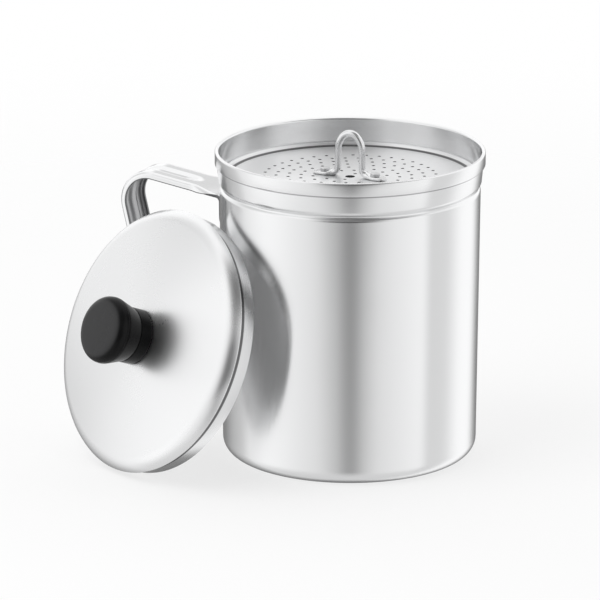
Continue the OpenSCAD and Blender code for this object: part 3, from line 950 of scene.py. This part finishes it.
studio = {
    # angles go round the object; 0 is the camera's side and 90 the picture's right
    # a shade begins at its first angle, is full between the next two and ends at the last
    "shades": [{"angles": (-84, -20, 10, 92), "tone": 0.77},
               {"angles": (-33, 0, 0, 28), "tone": 0.6},
               {"angles": (-14, 0, 0, 14), "tone": 0.7},
               {"angles": (66, 78, 90, 120), "tone": 0.7},
               {"angles": (-150, -120, -110, -80), "tone": 0.84}],
    # below eye level it is dim outside these, and above it inside the camera's own shade
    "fronts": [{"angles": (-162, -108, 134, 162), "tone": 0.27},
               {"angles": (-118, -104, 134, 162), "tone": 0.75}],
    "cameraShade": {"angles": (-40, -11, 11, 40), "tone": 0.18},
    # heights are sines of the elevation, from where a part begins to where it is full
    "behindFull": (0.05, -0.12),
    "cameraFades": (-0.17, 0.0),
    "ceiling": 0.97,
    "ceilingFull": (0.4, 0.75),
    "underneath": 0.66,
    "underneathFull": (-0.35, -0.85),
    "cameraHalf": (-0.3, 0.0),
    "brightness": 1.17,
    "gaps": [{"azimuth": -112, "elevation": 42, "size": 28, "tone": 0.76},
             {"azimuth": 8, "elevation": 60, "size": 38, "tone": 0.2},
             {"azimuth": 58, "elevation": 60, "size": 28, "tone": 0.4},
             {"azimuth": 171, "elevation": 26, "size": 13, "tone": 0.6}],
    "keyPower": 7,
    "keySize": 1.1,
    "keyPlace": (-0.5, -0.7, 1.3),
    "keyAim": (0, 0, 0.05),
}


def bandTone(tree, angle, angles, outside, inside):
    start, full, fullEnd, end = angles
    band = mathNode(tree, "MULTIPLY", between(tree, angle, start, full),
                    between(tree, angle, end, fullEnd))
    return blendValue(tree, band, outside, inside)


def buildStudio():
    world = bpy.data.worlds.new("studio")
    bpy.context.scene.world = world
    world.use_nodes = True
    tree = world.node_tree
    tree.nodes.clear()
    direction = addNode(tree, "ShaderNodeTexCoord").outputs["Generated"]
    turned = addNode(tree, "ShaderNodeVectorRotate",
                     {"Vector": direction, "Angle": radians(90) - azimuth},
                     rotation_type="Z_AXIS").outputs[0]
    ahead, aside, height = addNode(tree, "ShaderNodeSeparateXYZ", {0: turned}).outputs
    angle = mathNode(tree, "DEGREES", mathNode(tree, "ARCTAN2", aside, ahead))
    tone, allRound = 1.0, 1.0
    for shade in studio["shades"]:
        dimmed = bandTone(tree, angle, shade["angles"], 1.0, shade["tone"])
        tone = mathNode(tree, "MULTIPLY", tone, dimmed)
    for front in studio["fronts"]:
        dimmed = bandTone(tree, angle, front["angles"], front["tone"], 1.0)
        allRound = mathNode(tree, "MULTIPLY", allRound, dimmed)
    low = blendValue(tree, between(tree, height, *studio["behindFull"]), 1.0, allRound)
    dimmed = bandTone(tree, angle, studio["cameraShade"]["angles"], 1.0, studio["cameraShade"]["tone"])
    high = blendValue(tree, between(tree, height, *studio["cameraFades"]), 1.0, dimmed)
    tone = mathNode(tree, "MULTIPLY", mathNode(tree, "MULTIPLY", tone, low), high)
    tone = blendValue(tree, between(tree, height, *studio["ceilingFull"]), tone, studio["ceiling"])
    for gap in studio["gaps"]:
        a, e = radians(gap["azimuth"]), radians(gap["elevation"])
        middle = (cos(e) * cos(a), cos(e) * sin(a), sin(e))
        nearness = vectorMath(tree, "DOT_PRODUCT", turned, middle, "Value")
        soft = between(tree, nearness, cos(radians(gap["size"])), 1.0)
        tone = mathNode(tree, "MULTIPLY", tone, blendValue(tree, soft, 1.0, gap["tone"]))
    under = mathNode(tree, "MULTIPLY", between(tree, height, *studio["underneathFull"]),
                     between(tree, ahead, *studio["cameraHalf"]))
    tone = blendValue(tree, under, tone, studio["underneath"])
    tone = mathNode(tree, "MULTIPLY", tone, studio["brightness"])
    seen = addNode(tree, "ShaderNodeLightPath").outputs["Is Camera Ray"]
    tone = blendValue(tree, seen, tone, 1.0)
    light = addNode(tree, "ShaderNodeBackground", {"Color": tone, "Strength": 1.0})
    addNode(tree, "ShaderNodeOutputWorld", {"Surface": light.outputs[0]})

    lamp = bpy.data.lights.new("softKey", "AREA")
    lamp.shape = "SQUARE"
    lamp.size = studio["keySize"]
    lamp.energy = studio["keyPower"]
    key = bpy.data.objects.new("softKey", lamp)
    key.location = studio["keyPlace"]
    key.rotation_euler = (key.location - Vector(studio["keyAim"])).to_track_quat("Z", "Y").to_euler()
    key.visible_glossy = False
    bpy.context.scene.collection.objects.link(key)
    bpy.context.scene.view_settings.view_transform = "Standard"


buildStudio()
print("studio ready")
